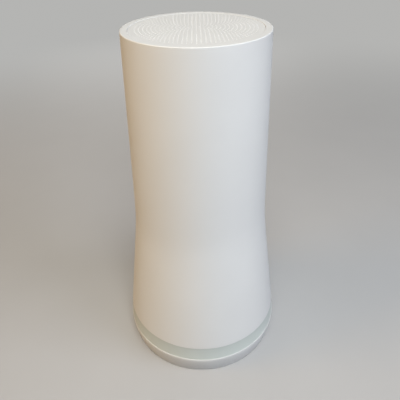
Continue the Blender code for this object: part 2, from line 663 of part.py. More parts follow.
def tower_frame():
    """The plastic skeleton: a floor with screw bosses, two grooved rails for the board, and a top ring."""
    frame = ring("tower_frame", FRAME_FLOOR_RADII, FRAME_FLOOR_Z, "frame_grey", INNER_STEPS)
    for index, at in enumerate(base_screw_places()):
        boss_z = (BASE_TOP_Z + GAP, FRAME_FLOOR_Z[0] + BITE)
        join(frame, prism(f"boss_{index}", circle(BOSS_RADIUS, at), boss_z, "frame_grey"))
        cut_hole(frame, f"boss_pilot_{index}", BOSS_PILOT_RADIUS, at, (0, BOSS_PILOT_TOP_Z))
    join(frame, ring("frame_top", FRAME_TOP_RADII, FRAME_TOP_Z, "frame_grey", INNER_STEPS))
    for side in (-1, 1):
        frame_side(frame, side)
    for index, (x, y) in enumerate(STANDOFF_PLACES):
        outline = circle(STANDOFF_RADIUS, (x * MM, y * MM), HOLE_STEPS)
        standoff_z = (FRAME_FLOOR_Z[1] - BITE, IO_BOARD_Z[0] - GAP)
        join(frame, prism(f"standoff_{index}", outline, standoff_z, "frame_grey"))
    window_y = (-46 * MM, -38 * MM)
    window_z = (FRAME_FLOOR_Z[0] - BITE, FRAME_FLOOR_Z[1] + BITE)
    cut(frame, box("ribbon_window", (-6 * MM, 6 * MM), window_y, window_z, "frame_grey"))


def boards():
    """The upright main board, whose tongue plugs into the connector on the flat port board."""
    half = BOARD_HALF_THICKNESS
    right = [
        (TONGUE_HALF_WIDTH, TONGUE_BOTTOM_Z),
        (TONGUE_HALF_WIDTH, BOARD_SHOULDER_Z),
        (BOARD_HALF_WIDTH, BOARD_SHOULDER_Z),
        (BOARD_HALF_WIDTH, BOARD_TOP_Z),
    ]
    outline = right + [(-x, z) for x, z in reversed(right)]
    main = prism("main_board", outline, (-half, half), "board_green", "Y")
    for index, at in enumerate(HEATSINK_SCREWS):
        cut_hole(main, f"board_hole_{index}", HEATSINK_HOLE_RADIUS, at, (-half - BITE, half + BITE), "Y")
    box("io_board", (-31 * MM, 31 * MM), (-20 * MM, 35.5 * MM), IO_BOARD_Z, "board_green")
    socket_z = (JACK_BOTTOM_Z, BOARD_SHOULDER_Z - 1.5 * MM)
    socket = box("edge_connector", (-20 * MM, 20 * MM), (-3.5 * MM, 3.5 * MM), socket_z, "chip_black")
    slot_x = (-TONGUE_HALF_WIDTH - GAP, TONGUE_HALF_WIDTH + GAP)
    slot_z = (TONGUE_BOTTOM_Z - GAP, BOARD_SHOULDER_Z)
    cut(socket, box("edge_slot", slot_x, (-half - GAP, half + GAP), slot_z, "chip_black"))


def board_parts():
    """Chips, shields, pads and power parts: a block each, as (x, y, z) limits in millimetres."""
    blocks = {
        "soc_chip": ((-9.5, 9.5), (-2.2, -1.1), (125, 144), "chip_black"),
        "soc_thermal_pad": ((-9, 9), (-4.3, -2.5), (125.5, 143.5), "thermal_pad"),
        "memory_chip": ((13, 23), (-2.1, -1.1), (127, 141), "chip_black"),
        "flash_chip": ((-22, -14), (-2.1, -1.1), (128, 136), "chip_black"),
        "rf_shield_low": ((-16, 16), (1.1, 2.9), (84, 110), "tin_plate"),
        "rf_shield_high": ((-16, 16), (1.1, 2.9), (136, 168), "tin_plate"),
        "rf_thermal_pad_low": ((-12, 12), (3.2, 4.3), (88, 106), "thermal_pad"),
        "rf_thermal_pad_high": ((-12, 12), (3.2, 4.3), (141, 163), "thermal_pad"),
        "power_inductor": ((-24, -14), (-5.6, -1.1), (50, 60), "chip_black"),
        "ethernet_transformer": ((-16, 16), (5.5, 14.5), (33.4, 39.4), "chip_black"),
    }
    for name, (*sides, finish) in blocks.items():
        box(name, *[[edge * MM for edge in side] for side in sides], finish)
    can = circle(4 * MM, (12 * MM, 56 * MM), 20)
    prism("bulk_capacitor", can, (-12.1 * MM, -1.1 * MM), "aluminium", "Y")


def heatsink(name, facing):
    """A comb of upright fins. Fin lengths follow a circle, so that they fill the round tower."""
    base_near, base_far = HEATSINK_BASE_Y
    outline = [(HEATSINK_HALF_WIDTH, base_near), (HEATSINK_HALF_WIDTH, base_far)]
    for index in reversed(range(FIN_COUNT)):
        centre = (index - (FIN_COUNT - 1) / 2) * FIN_PITCH
        right, left = centre + FIN_HALF_THICKNESS, centre - FIN_HALF_THICKNESS
        tip = math.sqrt(HEATSINK_TIP_RADIUS**2 - (abs(centre) + FIN_HALF_THICKNESS) ** 2)
        outline += [(right, base_far), (right, tip), (left, tip), (left, base_far)]
    outline += [(-HEATSINK_HALF_WIDTH, base_far), (-HEATSINK_HALF_WIDTH, base_near)]
    comb = prism(name, [(x, facing * y) for x, y in outline], HEATSINK_Z, "aluminium")
    through = (facing * (base_near - BITE), facing * (base_far + BITE))
    for index, at in enumerate(HEATSINK_SCREWS):
        cut_hole(comb, f"{name}_hole_{index}", HEATSINK_HOLE_RADIUS, at, through, "Y")


def cooling():
    """Two heatsinks, clamped on both faces of the main board by screws that run through it."""
    heatsink("front_heatsink", -1)
    heatsink("rear_heatsink", 1)
    head_height = 1.6 * MM
    for index, at in enumerate(HEATSINK_SCREWS, start=1):
        screw(
            f"heatsink_screw_{index}",
            at,
            HEATSINK_BASE_Y[1] + GAP + head_height,
            -HEATSINK_BASE_Y[1],
            head_height=head_height,
            head_radius=2.2 * MM,
            shaft_radius=1.4 * MM,
            axis="Y",
        )


# ---------------------------------------------------------------- lights and antennas


def led_ribbon():
    """A flat cable that rises from the light board, through the frame's floor, to the port board."""
    clear = GAP + 0.15 * MM
    low, high = LED_BOARD_Z[1] + clear, IO_BOARD_Z[1] + clear
    chamfer = 1.25 * MM
    outer, rise, inner = -50 * MM, -42.3 * MM, -16 * MM
    path = [
        (outer, low),
        (rise - chamfer, low),
        (rise, low + chamfer),
        (rise, high - chamfer),
        (rise + chamfer, high),
        (inner, high),
    ]
    half_thickness = 0.125 * MM
    upper, lower = [], []
    for index, (y, z) in enumerate(path):
        (y0, z0), (y1, z1) = path[max(index - 1, 0)], path[min(index + 1, len(path) - 1)]
        reach = half_thickness / math.hypot(y1 - y0, z1 - z0)
        upper.append((y - (z1 - z0) * reach, z + (y1 - y0) * reach))
        lower.append((y + (z1 - z0) * reach, z - (y1 - y0) * reach))
    prism("led_ribbon", upper + lower[::-1], (-4 * MM, 4 * MM), "panel_white", "X")


def lighting():
    """The ring-shaped light board and its evenly spaced light-emitting diodes."""
    ring("led_board", LED_BOARD_RADII, LED_BOARD_Z, "board_green", INNER_STEPS)
    low = LED_BOARD_Z[1] + GAP
    width = (-LED_HALF_WIDTH, LED_HALF_WIDTH)
    for index in range(LED_COUNT):
        led = box(f"led_{index + 1}", LED_X, width, (low, low + LED_HEIGHT), "led_yellow")
        turned(led, 360 * index / LED_COUNT)
    led_ribbon()


def antenna_carrier():
    """The ring that holds the four antennas upright above the board."""
    carrier = ring("antenna_carrier", CARRIER_RADII, CARRIER_Z, "frame_grey", INNER_STEPS)
    through = (CARRIER_Z[0] - BITE, CARRIER_Z[1] + BITE)
    for side in (-1, 1):
        at = (side * SHELL_SCREW_X, 0)
        cut_hole(carrier, f"carrier_hole_{side}", CARRIER_HOLE_RADIUS, at, through, steps=SMALL_STEPS)
    tab_x = (ANTENNA_RADIUS + 0.7 * MM, ANTENNA_RADIUS + 2.2 * MM)
    tab_z = (CARRIER_Z[1] - BITE, CARRIER_Z[1] + 16 * MM)
    for angle in ANTENNA_ANGLES:
        tab = box(f"carrier_tab_{angle}", tab_x, (-6 * MM, 6 * MM), tab_z, "frame_grey")
        join(carrier, turned(tab, angle))


def antennas():
    """Four stamped inverted-F antennas, and the coax cable that feeds each."""
    antenna_carrier()
    low = CARRIER_Z[1] + GAP
    feed_slot = [(-8, 0), (-3, 0), (-3, 11), (-1, 11), (-1, 0)]
    folded_arm = [(8, 0), (8, 9), (2, 9), (2, 14), (8, 14), (8, 20), (-8, 20)]
    outline = [(a * MM, low + b * MM) for a, b in feed_slot + folded_arm]
    span = (ANTENNA_RADIUS - ANTENNA_HALF_THICKNESS, ANTENNA_RADIUS + ANTENNA_HALF_THICKNESS)
    for index, angle in enumerate(ANTENNA_ANGLES, start=1):
        turned(prism(f"antenna_{index}", outline, span, "brass", "X"), angle)
        x, y = math.cos(math.radians(angle)), math.sin(math.radians(angle))
        route = [(32.3, 206), (25, 205.5), (15, 202), (11, 196)]
        points = [(r * x * MM, r * y * MM, z * MM) for r, z in route]
        points.append((math.copysign(10 * MM, x), math.copysign(2 * MM, y), 187 * MM))
        tube(f"coax_{index}", points, COAX_RADIUS, "chip_black")


def build():
    clear_scene()
    outer_shell()
    top_grille()
    foot_ring()
    light_ring()
    base_plate()
    underside()
    port_bay()
    tower_frame()
    boards()
    board_parts()
    cooling()
    lighting()
    antennas()


build()
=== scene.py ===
"""Mesh wifi node: the looks of a white tapered tower with a perforated top, a light ring and a round foot.

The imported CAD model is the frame. The pieces that show are rebuilt here with fine meshes, the inner CAD
pieces stay as they are, and every piece gets a node material. The frame is in metres, +Z up, with the
front facing -Y and the port bay facing +Y.
"""

import json
import math

import bmesh
import bpy
from mathutils import Matrix, Vector


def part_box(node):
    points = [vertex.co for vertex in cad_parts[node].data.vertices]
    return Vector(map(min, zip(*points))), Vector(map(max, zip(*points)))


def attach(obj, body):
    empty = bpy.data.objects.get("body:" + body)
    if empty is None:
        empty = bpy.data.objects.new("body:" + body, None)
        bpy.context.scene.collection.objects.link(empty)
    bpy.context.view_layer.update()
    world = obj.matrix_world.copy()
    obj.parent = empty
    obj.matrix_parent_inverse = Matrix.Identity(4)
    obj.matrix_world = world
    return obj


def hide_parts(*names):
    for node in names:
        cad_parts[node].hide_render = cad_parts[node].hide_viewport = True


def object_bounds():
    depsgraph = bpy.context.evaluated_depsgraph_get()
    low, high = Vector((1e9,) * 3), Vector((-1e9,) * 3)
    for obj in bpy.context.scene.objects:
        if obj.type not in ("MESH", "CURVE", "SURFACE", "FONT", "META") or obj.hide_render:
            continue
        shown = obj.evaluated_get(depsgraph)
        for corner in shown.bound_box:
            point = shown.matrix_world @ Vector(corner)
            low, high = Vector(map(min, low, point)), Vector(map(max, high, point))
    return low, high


MM = 0.001
BODY = "housing"  # the body that everything fixed rides on

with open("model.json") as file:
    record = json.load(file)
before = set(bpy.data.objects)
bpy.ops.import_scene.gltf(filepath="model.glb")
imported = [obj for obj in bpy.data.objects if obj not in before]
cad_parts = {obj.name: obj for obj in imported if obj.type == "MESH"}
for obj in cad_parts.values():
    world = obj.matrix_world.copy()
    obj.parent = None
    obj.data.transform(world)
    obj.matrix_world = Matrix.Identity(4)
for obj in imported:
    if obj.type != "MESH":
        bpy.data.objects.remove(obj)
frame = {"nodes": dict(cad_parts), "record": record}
CAD_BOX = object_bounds()

# ---------------------------------------------------------------- places read from the frame

HEIGHT = CAD_BOX[1].z
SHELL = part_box("outer_shell")
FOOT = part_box("foot_ring")
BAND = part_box("light_ring")
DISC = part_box("top_grille")
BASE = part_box("base_plate")
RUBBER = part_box("rubber_foot")
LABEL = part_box("rating_label")
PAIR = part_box("pair_button")
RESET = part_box("reset_switch_plunger")
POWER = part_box("dc_jack")
SOCKETS = {name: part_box(name) for name in ("wan_jack", "lan_jack_1", "lan_jack_2")}

# ---------------------------------------------------------------- shapes

FINE_STEPS = 256
MEDIUM_STEPS = 96
SMALL_STEPS = 40
GAP = 0.3 * MM
BITE = 1 * MM  # how far a tool reaches past the face that it cuts

# Sleeve: two straight tapers that meet at a rounded waist.
UPPER_TAPER = 0.0271
LOWER_TAPER = 0.1355
WAIST_Z = 107.4 * MM
WAIST_ROUNDING = 0.45 * MM
WAIST_LEVELS = [78 * MM + 3 * MM * index for index in range(21)]  # where the bend needs points
LEVELS_BELOW = (42 * MM, 60 * MM)
LEVELS_ABOVE = (155 * MM, 190 * MM)
TOP_RADIUS = 41.5 * MM
SHELL_WALL = 2.2 * MM
TOP_FILLET = 0.55 * MM
LIP_FILLET = 0.25 * MM
EDGE_FILLET = 0.3 * MM

# Perforated disc and the ledge under it.
GRILLE_OPENING = DISC[1].x + 0.4 * MM
GRILLE_SLIT = 0.06 * MM
GRILLE_RADIUS = GRILLE_OPENING - GRILLE_SLIT
GRILLE_THICKNESS = 1.9 * MM
GRILLE_TOP_Z = HEIGHT - 0.15 * MM
GRILLE_RINGS = 15
GRILLE_FIELD_RADIUS = 33.6 * MM
GRILLE_HOLE_RADIUS = 0.32 * MM
GRILLE_HOLE_STEPS = 14
GRILLE_EDGE = 0.12 * MM
LEDGE_RADIUS = 35 * MM
LEDGE_THICKNESS = 2 * MM
LEDGE_TOP_Z = DISC[1].z - GRILLE_THICKNESS - GAP

# Foot and light ring.
FOOT_BOTTOM_RADIUS = 54.8 * MM
FOOT_ROLL_POWER = 1.4
FOOT_ROLL_STEPS = 20
FOOT_SHOULDER_STEPS = 6
FOOT_CREST_Z = FOOT[1].z + 0.9 * MM
FOOT_BULGE_Z = 13.6 * MM  # where the foot is widest
FOOT_SHOULDER = 0.15 * MM  # how far the crest stands inside the widest part
FOOT_EDGE = 0.12 * MM
FOOT_CREST = 0.08 * MM  # the flat on top of the face, outside the gutter
GUTTER_DEPTH = 0.6 * MM
GUTTER_OVERLAP = 0.4 * MM  # how far the gutter's floor reaches inside the base cover's edge
FOOT_ROOF_DEPTH = 2.2 * MM  # from the crest down to the cavity
FLANGE_THICKNESS = 2.5 * MM
FLANGE_REACH = 2.4 * MM
BAND_WALL = 3 * MM
BAND_LIFT = 0.15 * MM  # the gap between the band and the gutter's floor
BAND_FILLET = 0.25 * MM
BAND_INSET = (0.45 * MM, 1.65 * MM)  # how far the band stands inside the foot at its bottom and at its top
FOOT_WALL = 3.8 * MM
NOTCH_WIDTH = 15 * MM
NOTCH_DEPTH = 1.1 * MM
NOTCH_INNER_Y = -47 * MM
NOTCH_OVERSHOOT = 5 * MM
NOTCH_STEPS = 192

# Base cover and rubber ring.
AIR_SLOTS = 16
SCREW_HEAD_RADIUS = 3.1 * MM
SCREW_HEAD_DEPTH = 1.8 * MM
SCREW_HOLE_RADIUS = 1.75 * MM
RUBBER_INNER_RADIUS = 36.5 * MM

# Port bay.
BAY_HALF_WIDTH = 35 * MM
BAY_Z = (31 * MM, 64 * MM)
BAY_CORNER = 5 * MM
BAY_WALL = 1.6 * MM
PANEL_FACE_Y = SOCKETS["wan_jack"][1].y
PANEL_BACK_Y = PANEL_FACE_Y - 2 * MM
BAY_REACH = SHELL[1].y + 10 * MM
BAY_CUT_DEPTH = 10 * MM
PANEL_REACH = BAY_REACH - 2 * MM
ENVELOPE_MARGIN = 4 * MM
ENVELOPE_INSET = 0.1 * MM
PAIR_HOLE_RADIUS = 4.3 * MM
RESET_HOLE_RADIUS = 1.0 * MM
POST_RADIUS = 2 * MM
POST_XS = (-4 * MM, 8 * MM)

# Network sockets. The mouth is half its outline and the contact is its side view, both in millimetres.
JACK_MOUTH = ((1.6, 1.0), (1.6, 2.0), (3.1, 2.0), (3.1, 3.5), (5.95, 3.5), (5.95, 11.8))
JACK_DEPTH = 13 * MM
CONTACT_PATH = ((1.2, 11.6), (2.4, 11.35), (9.0, 8.3), (11.0, 7.9), (12.8, 8.6))
CONTACT_COUNT = 8
CONTACT_PITCH = 1.02 * MM
CONTACT_RADIUS = 0.2 * MM

# Power socket.
POWER_BORE_RADIUS = 3.2 * MM
POWER_BORE_DEPTH = 9.5 * MM
POWER_PIN_RADIUS = 1.0 * MM
POWER_PIN_LENGTH = 8.5 * MM
POWER_PIN_FILLET = 0.4 * MM

# Pairing button.
CAP_RADIUS = 4.0 * MM
CAP_FILLET = 0.45 * MM
CAP_STEM_RADIUS = 1.5 * MM
CAP_FLANGE_RADIUS = 5.2 * MM
CAP_FLANGE_BACK = 1.4 * MM  # how far the flange's back stands behind the panel's back
DISH_DEPTH = 0.35 * MM
DISH_RADII = (3.3, 2.4, 1.5, 0.7)  # in millimetres, from the dish's edge inwards


# ---------------------------------------------------------------- mesh helpers


def arc(centre, radius, start, end, steps):
    """Points of a circular arc between two angles in degrees, both ends included."""
    angles = [math.radians(start + (end - start) * index / steps) for index in range(steps + 1)]
    return [(centre[0] + radius * math.cos(a), centre[1] + radius * math.sin(a)) for a in angles]


def circle(radius, at=(0.0, 0.0), steps=SMALL_STEPS):
    return arc(at, radius, 0, 360, steps)[:-1]


def object_from(bm, name):
    bmesh.ops.remove_doubles(bm, verts=bm.verts, dist=1e-7)
    bmesh.ops.recalc_face_normals(bm, faces=bm.faces)
    mesh = bpy.data.meshes.new(name)
    bm.to_mesh(mesh)
    bm.free()
    obj = bpy.data.objects.new(name, mesh)
    bpy.context.scene.collection.objects.link(obj)
    return obj


def lathe(name, profile, steps=FINE_STEPS, matrix=Matrix.Identity(4)):
    """Turns a closed (radius, height) outline about Z, then places it with a matrix."""
    bm = bmesh.new()
    verts = [bm.verts.new((radius, 0, height)) for radius, height in profile]
    edges = [bm.edges.new((verts[i - 1], verts[i])) for i in range(len(verts))]
    bmesh.ops.spin(
        bm,
        geom=verts + edges,
        axis=(0, 0, 1),
        cent=(0, 0, 0),
        steps=steps,
        angle=math.tau,
        use_merge=True,
    )
    bmesh.ops.transform(bm, matrix=matrix, verts=bm.verts)
    return object_from(bm, name)


def along_y(x, y, z):
    """Carries a lathe's axis to the line along +Y through (x, z), with its height counted from y."""
    return Matrix.Translation((x, y, z)) @ Matrix.Rotation(math.radians(-90), 4, "X")


def prism(name, outline, low, high, axis="Z"):
    """Extrudes a flat outline along Y or Z. For axis Y the outline holds (x, z) pairs."""
    points = {"Y": lambda d, a, b: (a, d, b), "Z": lambda d, a, b: (a, b, d)}[axis]
    bm = bmesh.new()
    bottom = [bm.verts.new(points(low, a, b)) for a, b in outline]
    top = [bm.verts.new(points(high, a, b)) for a, b in outline]
    bm.faces.new(bottom)
    bm.faces.new(top)
    for index in range(len(outline)):
        bm.faces.new((bottom[index - 1], bottom[index], top[index], top[index - 1]))
    return object_from(bm, name)


def box(name, low, high):
    outline = [(low[0], low[1]), (high[0], low[1]), (high[0], high[1]), (low[0], high[1])]
    return prism(name, outline, low[2], high[2])


def rounded_rectangle(half_width, z, radius, corner_steps=12):
    right, left = half_width - radius, radius - half_width
    high, low = z[1] - radius, z[0] + radius
    points = []
    for quarter, centre in enumerate(((right, high), (left, high), (left, low), (right, low))):
        points += arc(centre, radius, 90 * quarter, 90 * quarter + 90, corner_steps)
    return points


def applied(obj):
    """Replaces an object's mesh with the result of its modifiers."""
    depsgraph = bpy.context.evaluated_depsgraph_get()
    obj.data = bpy.data.meshes.new_from_object(obj.evaluated_get(depsgraph))
    obj.modifiers.clear()


def combine(target, tool, operation):
    """Applies an exact Boolean and deletes its tool."""
    modifier = target.modifiers.new("shape", "BOOLEAN")
    modifier.operation = operation
    modifier.solver = "EXACT"
    modifier.object = tool
    applied(target)
    bpy.data.objects.remove(tool)


def soften(obj, width, segments=2, angle=40):
    """Rounds every edge sharper than the angle, and keeps the flats between them flat."""
    bevel = obj.modifiers.new("rounding", "BEVEL")
    bevel.width = width
    bevel.segments = segments
    bevel.limit_method = "ANGLE"
    bevel.angle_limit = math.radians(angle)
    bevel.use_clamp_overlap = True
    bevel.harden_normals = True
    obj.data.shade_smooth()


def weighted(obj, corner=50):
    """Shades flats as flat, fillets as round and corners sharper than an angle as hard."""
    obj.data.shade_smooth()
    obj.data.set_sharp_from_angle(angle=math.radians(corner))
    modifier = obj.modifiers.new("shading", "WEIGHTED_NORMAL")
    modifier.mode = "FACE_AREA"
    modifier.keep_sharp = True
    return obj


def piece(obj, finish, slot, body, *nodes):
    """Gives a piece its material and ties it to the frame."""
    obj.data.materials.clear()
    obj.data.materials.append(finish)
    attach(obj, body)
    if nodes:
        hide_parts(*nodes)


# ---------------------------------------------------------------- materials


class Finish:
    """A node material under construction. Its textures read object space, which is the frame in metres."""

    def __init__(self, name):
        self.material = bpy.data.materials.new(name)
        self.material.use_nodes = True
        self.tree = self.material.node_tree
        self.surface = self.tree.nodes["Principled BSDF"]
        self.place = self.tree.nodes.new("ShaderNodeTexCoord").outputs["Object"]

    def node(self, kind, inputs, **settings):
        made = self.tree.nodes.new("ShaderNode" + kind)
        for key, value in settings.items():
            setattr(made, key, value)
        self.fill(made, inputs)
        return made

    def fill(self, node, inputs):
        for socket, value in inputs.items():
            if isinstance(value, bpy.types.NodeSocket):
                self.tree.links.new(value, node.inputs[socket])
            else:
                node.inputs[socket].default_value = value

    def noise(self, grain, detail=2.0, stretch=(1, 1, 1)):
        """Noise whose features are about grain metres across, stretched along the axes."""
        scaled = self.node("Mapping", {"Vector": self.place, "Scale": [1 / s for s in stretch]})
        inputs = {"Vector": scaled.outputs["Vector"], "Scale": 1 / grain, "Detail": detail}
        return self.node("TexNoise", inputs).outputs["Fac"]

    def ramp(self, factor, stops):
        """A colour ramp through (place, colour) stops."""
        made = self.node("ValToRGB", {"Fac": factor})
        elements = made.color_ramp.elements
        while len(elements) < len(stops):
            elements.new(0.5)
        for element, (position, colour) in zip(elements, stops):
            element.position = position
            element.color = (*colour, 1.0)
        return made.outputs["Color"]

    def between(self, factor, low, high):
        """A number that runs from low to high with a noise factor."""
        inputs = {"Value": factor, "From Min": 0.3, "From Max": 0.7, "To Min": low, "To Max": high}
        return self.node("MapRange", inputs).outputs["Result"]

    def bump(self, height, depth, strength=1.0):
        inputs = {"Height": height, "Distance": depth, "Strength": strength}
        return self.node("Bump", inputs).outputs["Normal"]

    def shades(self, colour, spread, grain, stretch=(1, 1, 1)):
        """The colour, a little darker here and lighter there."""
        dark = [channel * (1 - spread) for channel in colour]
        light = [min(1.0, channel * (1 + spread)) for channel in colour]
        return self.ramp(self.noise(grain, stretch=stretch), [(0.3, dark), (0.7, light)])

    def done(self, **inputs):
        self.fill(self.surface, {name.replace("_", " "): value for name, value in inputs.items()})
        return self.material


def moulded_plastic(name, colour, roughness, texture=0.35 * MM, depth=0.012 * MM):
    """Injection-moulded plastic: a fine spark-eroded texture, soft shade changes and uneven sheen."""
    finish = Finish(name)
    grain = finish.bump(finish.noise(texture, 3.0), depth, 0.6)
    sheen = finish.between(finish.noise(9 * MM), roughness - 0.04, roughness + 0.04)
    return finish.done(
        Base_Color=finish.shades(colour, 0.012, 35 * MM),
        Roughness=sheen,
        Normal=grain,
        IOR=1.47,
    )


def frosted_diffuser():
    """Milky plastic that light sinks into, with a faint green-grey tint, and painted shade that darkens it
    towards the sleeve's overhanging edge.
    """
    finish = Finish("frosted_diffuser")
    height = finish.node("SeparateXYZ", {"Vector": finish.place}).outputs["Z"]
    spread = {"Value": height, "From Min": BAND[0].z, "From Max": BAND[1].z, "To Min": 0.0, "To Max": 1.0}
    share = finish.node("MapRange", spread).outputs["Result"]
    # painted shade: the colour darkens with height, standing in for the shadow of the sleeve's edge over the
    # band
    painted_shade_top_colour = [BAND_TOP_PAINTED_SHADE * channel for channel in BAND_COLOUR]
    depth = finish.ramp(share, [(0.0, BAND_COLOUR), (1.0, painted_shade_top_colour)])
    cloud = finish.ramp(finish.noise(8 * MM), [(0.3, (0.97, 0.97, 0.97)), (0.7, (1.0, 1.0, 1.0))])
    mixed = finish.node("Mix", {"Factor": 1.0, 6: depth, 7: cloud}, data_type="RGBA", blend_type="MULTIPLY")
    return finish.done(
        Base_Color=mixed.outputs[2],
        Roughness=finish.between(finish.noise(3 * MM), 0.36, 0.46),
        Normal=finish.bump(finish.noise(0.25 * MM, 3.0), 0.008 * MM, 0.5),
        Subsurface_Weight=0.35,
        Subsurface_Radius=(1.0, 1.0, 1.0),
        Subsurface_Scale=1.5 * MM,
    )


def rubber():
    finish = Finish("moulded_rubber")
    return finish.done(
        Base_Color=finish.shades((0.055, 0.055, 0.056), 0.12, 4 * MM),
        Roughness=finish.between(finish.noise(2 * MM), 0.72, 0.88),
        Normal=finish.bump(finish.noise(0.3 * MM, 4.0), 0.03 * MM, 0.7),
    )


def satin_film():
    finish = Finish("satin_film")
    return finish.done(
        Base_Color=finish.shades((0.60, 0.60, 0.58), 0.02, 5 * MM),
        Metallic=0.3,
        Roughness=finish.between(finish.noise(1.2 * MM), 0.32, 0.42),
        Normal=finish.bump(finish.noise(0.15 * MM), 0.004 * MM, 0.4),
    )


def brushed_metal(name, colour, roughness, direction):
    """Metal drawn along one axis: long fine scratches and a slightly uneven polish."""
    finish = Finish(name)
    stretch = [60 if axis == direction else 1 for axis in "XYZ"]
    scratches = finish.noise(0.12 * MM, 3.0, stretch)
    return finish.done(
        Base_Color=finish.shades(colour, 0.06, 0.4 * MM, stretch),
        Metallic=1.0,
        Roughness=finish.between(scratches, roughness - 0.08, roughness + 0.1),
        Normal=finish.bump(scratches, 0.004 * MM, 0.5),
        Anisotropic=0.4,
    )


def circuit_board():
    """Solder mask over copper: cell edges show as slightly lighter, slightly raised bands."""
    finish = Finish("circuit_board")
    cells = finish.node(
        "TexVoronoi",
        {"Vector": finish.place, "Scale": 1 / (2.4 * MM), "Randomness": 0.35},
        distance="MANHATTAN",
        feature="F1",
    ).outputs["Distance"]
    tracks = finish.ramp(cells, [(0.42, (0.0, 0.0, 0.0)), (0.5, (1.0, 1.0, 1.0))])
    mask = finish.ramp(cells, [(0.42, (0.012, 0.095, 0.045)), (0.5, (0.02, 0.15, 0.07))])
    return finish.done(
        Base_Color=mask,
        Roughness=finish.between(finish.noise(3 * MM), 0.28, 0.4),
        Normal=finish.bump(tracks, 0.03 * MM, 0.5),
        Coat_Weight=0.3,
    )


def soft_pad():
    finish = Finish("thermal_pad")
    return finish.done(
        Base_Color=finish.shades((0.30, 0.38, 0.52), 0.08, 1.5 * MM),
        Roughness=finish.between(finish.noise(1 * MM), 0.8, 0.95),
        Normal=finish.bump(finish.noise(0.5 * MM, 3.0), 0.05 * MM, 0.6),
    )


def led_resin():
    finish = Finish("led_resin")
    return finish.done(
        Base_Color=finish.shades((0.85, 0.78, 0.35), 0.05, 1 * MM),
        Roughness=finish.between(finish.noise(1 * MM), 0.2, 0.32),
        Subsurface_Weight=0.3,
        Subsurface_Scale=0.8 * MM,
    )


WHITE = (0.80, 0.80, 0.79)
BAND_COLOUR = (0.71, 0.76, 0.725)
# painted shade: the share of the band's colour left at its top, under the sleeve's edge
BAND_TOP_PAINTED_SHADE = 0.86
MATERIALS = {
    "shell_white": moulded_plastic("white_plastic", WHITE, 0.52),
    "panel_white": moulded_plastic("panel_plastic", (0.74, 0.74, 0.73), 0.55, 0.5 * MM, 0.02 * MM),
    "frame_grey": moulded_plastic("frame_plastic", (0.30, 0.31, 0.32), 0.6, 0.5 * MM, 0.02 * MM),
    "jack_black": moulded_plastic("black_nylon", (0.022, 0.022, 0.024), 0.42, 0.3 * MM),
    "jack_blue": moulded_plastic("blue_nylon", (0.03, 0.12, 0.36), 0.42, 0.3 * MM),
    "chip_black": moulded_plastic("epoxy", (0.028, 0.028, 0.03), 0.5, 0.2 * MM),
    "diffuser": frosted_diffuser(),
    "rubber_grey": rubber(),
    "label_silver": satin_film(),
    "board_green": circuit_board(),
    "thermal_pad": soft_pad(),
    "aluminium": brushed_metal("drawn_aluminium", (0.62, 0.63, 0.64), 0.34, "Z"),
    "tin_plate": brushed_metal("tin_plate", (0.70, 0.70, 0.68), 0.26, "X"),
    "steel": brushed_metal("zinc_steel", (0.52, 0.52, 0.53), 0.3, "Z"),
    "brass": brushed_metal("stamped_brass", (0.78, 0.58, 0.25), 0.26, "Z"),
    "led_yellow": led_resin(),
}


def dress_cad_nodes():
    """Every CAD node takes the node material of its record slot."""
    slots = {row["node"]: row["material_slot"] for row in frame["record"]["subparts"]}
    for name, obj in frame["nodes"].items():
        finish = MATERIALS[slots[name]]
        for material_slot in obj.material_slots:
            material_slot.material = finish


# ---------------------------------------------------------------- sleeve and top


def shell_radius(z):
    """The tower's outer radius at a height."""
    waist_radius = TOP_RADIUS + UPPER_TAPER * (HEIGHT - WAIST_Z)
    mean_taper = (UPPER_TAPER + LOWER_TAPER) / 2
    half_change = (LOWER_TAPER - UPPER_TAPER) / 2
    rise = z - WAIST_Z
    return waist_radius - mean_taper * rise + math.hypot(half_change * rise, WAIST_ROUNDING)


def shell_profile():
    bottom = SHELL[0].z
    corner = (shell_radius(bottom) - EDGE_FILLET, bottom + EDGE_FILLET)
    low_edge = arc(corner, EDGE_FILLET, -90, 8, 4)
    face = [(shell_radius(z), z) for z in (*LEVELS_BELOW, *WAIST_LEVELS, *LEVELS_ABOVE)]
    lip_radius = shell_radius(HEIGHT) - TOP_FILLET
    lip = arc((lip_radius, HEIGHT - TOP_FILLET), TOP_FILLET, 1.5, 90, 8)
    inner_lip = arc((GRILLE_OPENING + LIP_FILLET, HEIGHT - LIP_FILLET), LIP_FILLET, 90, 180, 4)
    ledge_bottom = LEDGE_TOP_Z - LEDGE_THICKNESS
    seat = [(GRILLE_OPENING, LEDGE_TOP_Z), (LEDGE_RADIUS, LEDGE_TOP_Z), (LEDGE_RADIUS, ledge_bottom)]
    inner_levels = [ledge_bottom, *reversed(WAIST_LEVELS[::4]), bottom]
    inside = [(shell_radius(z) - SHELL_WALL, z) for z in inner_levels]
    return low_edge + face + lip + inner_lip + seat + inside


def bay_outline(inset=0.0):
    z = (BAY_Z[0] + inset, BAY_Z[1] - inset)
    return rounded_rectangle(BAY_HALF_WIDTH - inset, z, BAY_CORNER - inset)


def outer_shell():
    shell = lathe("shell_sleeve", shell_profile())
    cutter = prism("bay_cutter", bay_outline(), PANEL_FACE_Y - BAY_CUT_DEPTH, BAY_REACH, "Y")
    combine(shell, cutter, "DIFFERENCE")
    weighted(shell)
    piece(shell, MATERIALS["shell_white"], "shell_white", BODY, "outer_shell")


def grille_spline(curve, radius, at, steps):
    spline = curve.splines.new("POLY")
    points = circle(radius, at, steps)
    spline.points.add(len(points) - 1)
    for point, (x, y) in zip(spline.points, points):
        point.co = (x, y, 0, 1)
    spline.use_cyclic_u = True


